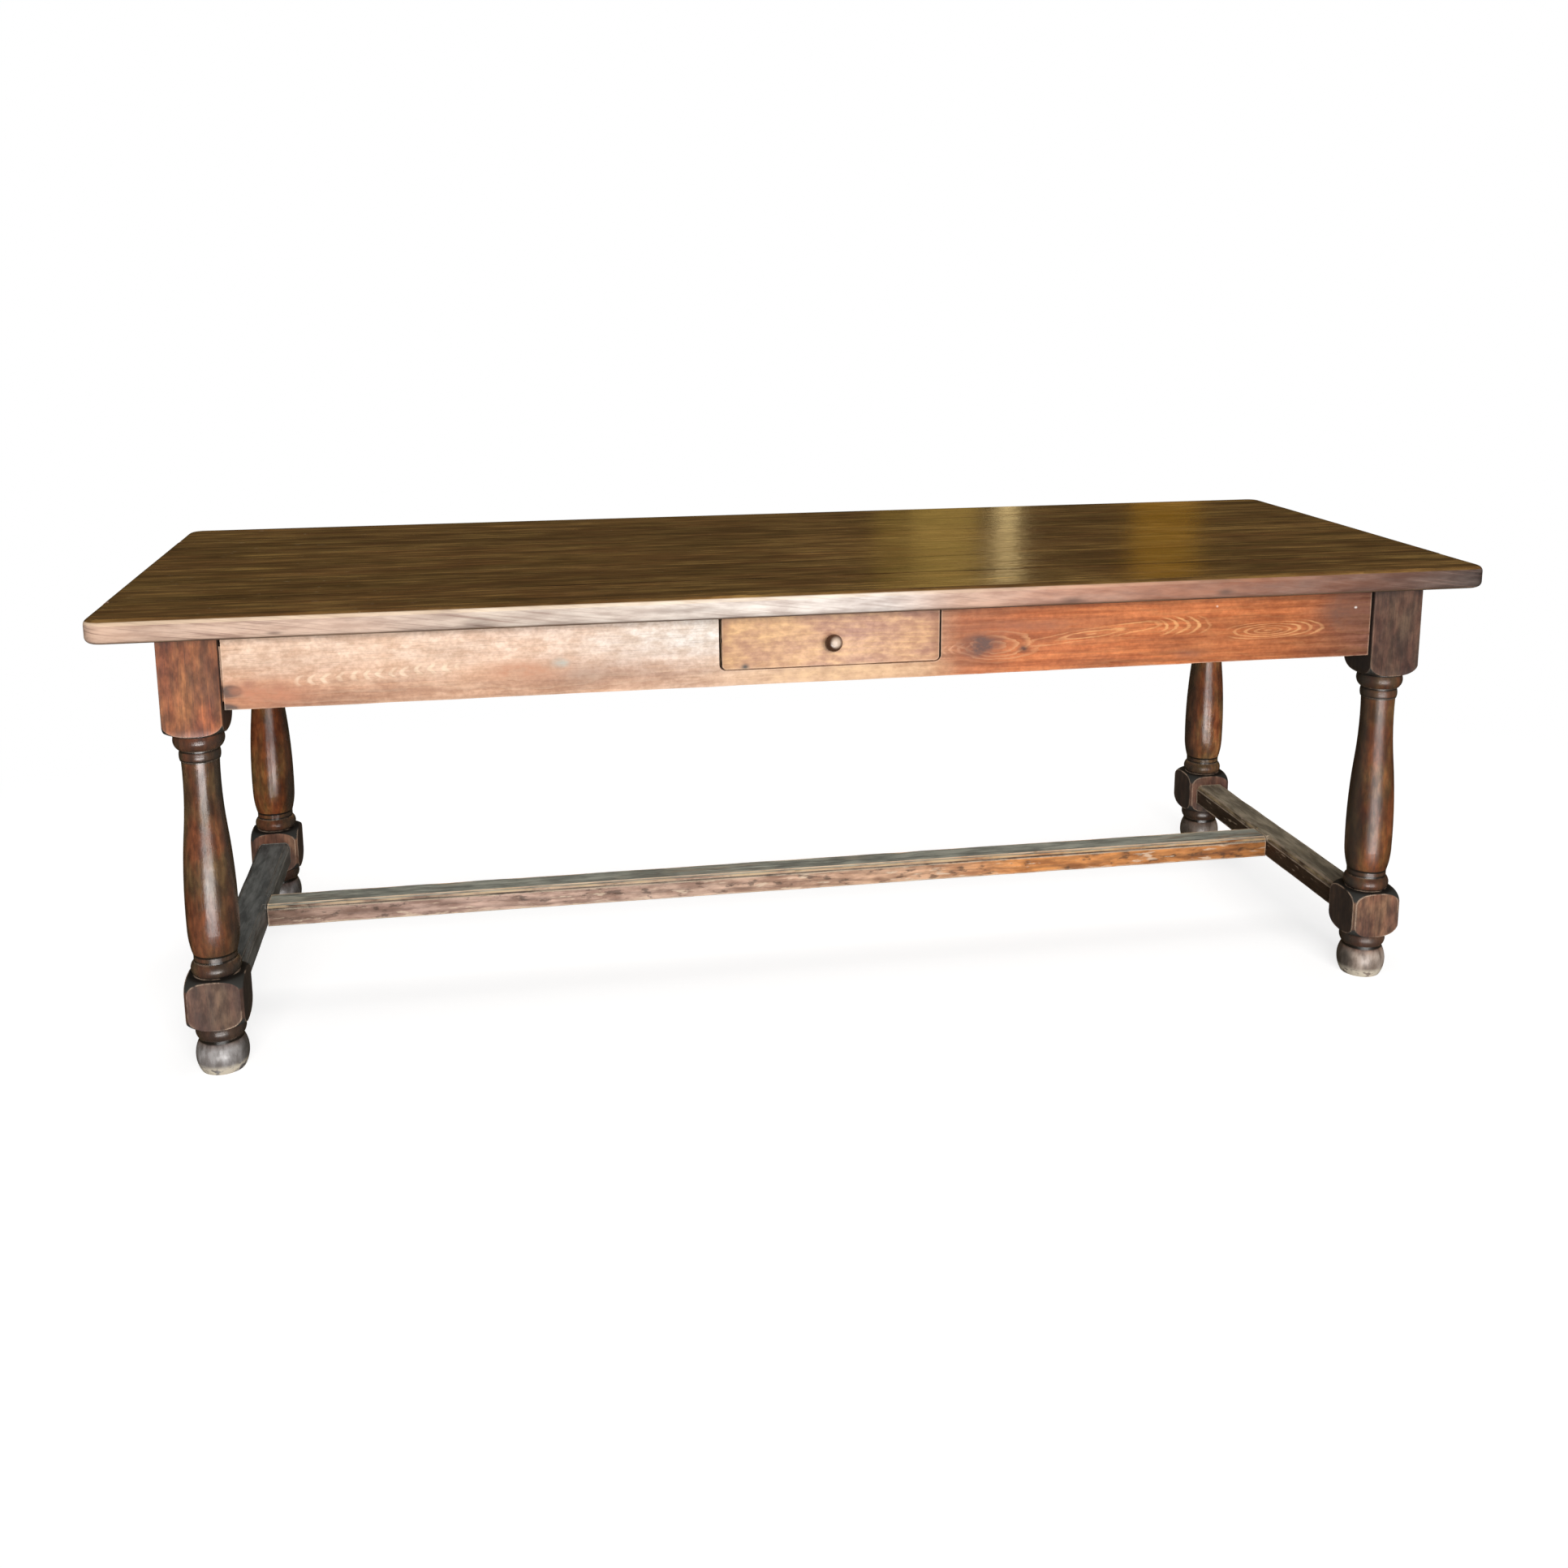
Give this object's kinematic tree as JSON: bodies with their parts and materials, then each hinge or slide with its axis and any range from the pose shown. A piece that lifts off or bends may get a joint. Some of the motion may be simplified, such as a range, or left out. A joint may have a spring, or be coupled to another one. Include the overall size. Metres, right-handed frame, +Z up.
{
  "type": "farmhouse table",
  "caption": "Long wooden farmhouse dining table with a plank top, turned baluster legs, H stretchers and a small drawer in the front apron.",
  "frame": {"origin": "middle of the table's outline, on the floor", "axes": "+X along the table, to the right as one faces the drawer; +Y from the drawer to the far side; +Z up"},
  "size_m": [2.27, 0.87, 0.76],
  "materials": {
    "leg_wood": "dark stained and waxed, satin",
    "stretcher_wood": "stained, worn and dusty, satin",
    "apron_wood": "stained and waxed, satin",
    "inner_wood": "unfinished, darkened with age",
    "top_wood": "dark stained and waxed, semi-gloss",
    "drawer_front_wood": "stained and waxed, satin",
    "drawer_box_wood": "unfinished pale wood",
    "knob_wood": "turned and polished",
    "screw_steel": "plain steel, dulled"
  },
  "bodies": {
    "table": {"leg_front_left": "leg_wood", "leg_front_right": "leg_wood", "leg_back_left": "leg_wood", "leg_back_right": "leg_wood", "left_stretcher": "stretcher_wood", "right_stretcher": "stretcher_wood", "centre_stretcher": "stretcher_wood", "front_apron": "apron_wood", "back_apron": "apron_wood", "left_apron": "apron_wood", "right_apron": "apron_wood", "left_runner": "inner_wood", "right_runner": "inner_wood", "drawer_stops": "inner_wood", "top_buttons": "inner_wood", "board_splines": "inner_wood", "button_screws": "screw_steel", "top_board_1": "top_wood", "top_board_2": "top_wood", "top_board_3": "top_wood", "top_board_4": "top_wood", "top_board_5": "top_wood", "top_board_6": "top_wood"},
    "drawer": {"drawer_front": "drawer_front_wood", "drawer_left_side": "drawer_box_wood", "drawer_right_side": "drawer_box_wood", "drawer_back": "drawer_box_wood", "drawer_bottom": "drawer_box_wood", "drawer_knob": "knob_wood"}
  },
  "joints": [
    {"name": "drawer_slide", "type": "slide", "parent": "table", "child": "drawer", "axis": [0, -1, 0], "range_m": [0, 0.36]}
  ]
}
